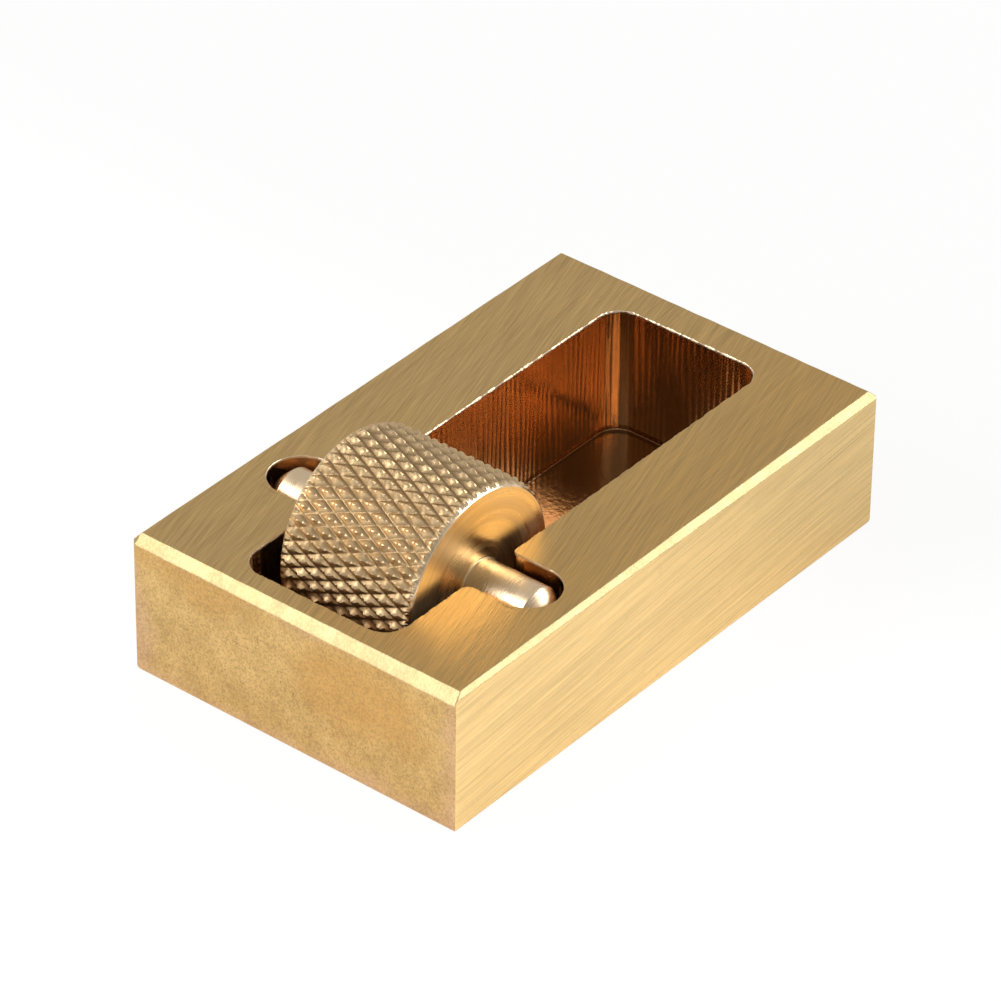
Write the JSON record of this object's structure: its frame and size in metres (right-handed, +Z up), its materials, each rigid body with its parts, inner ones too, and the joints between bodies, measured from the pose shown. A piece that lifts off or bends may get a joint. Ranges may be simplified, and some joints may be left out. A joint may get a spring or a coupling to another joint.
{
  "type": "roller tray",
  "caption": "Solid brass block with a deep milled pocket and a knurled roller lying across it, for laying liquid edge finish on leather.",
  "frame": {"origin": "middle of the block's bottom face, which is the face it stands on", "axes": "+X along the block, away from the roller end; +Y across the block, along the roller's axle; +Z up, out of the pocket"},
  "size_m": [0.049, 0.03, 0.0181],
  "materials": {
    "block_brass": "brushed, with bright filed edges and a coppery milled pocket",
    "roller_brass": "turned, with a diamond knurl on the drum"
  },
  "bodies": {
    "tray": {"tray_block": "block_brass"},
    "roller": {"knurled_roller": "roller_brass"}
  },
  "joints": [
    {"name": "roller_spin", "type": "hinge", "parent": "tray", "child": "roller", "pos_m": [-0.01115, 0, 0.00997], "axis": [0, 1, 0], "continuous": true}
  ]
}
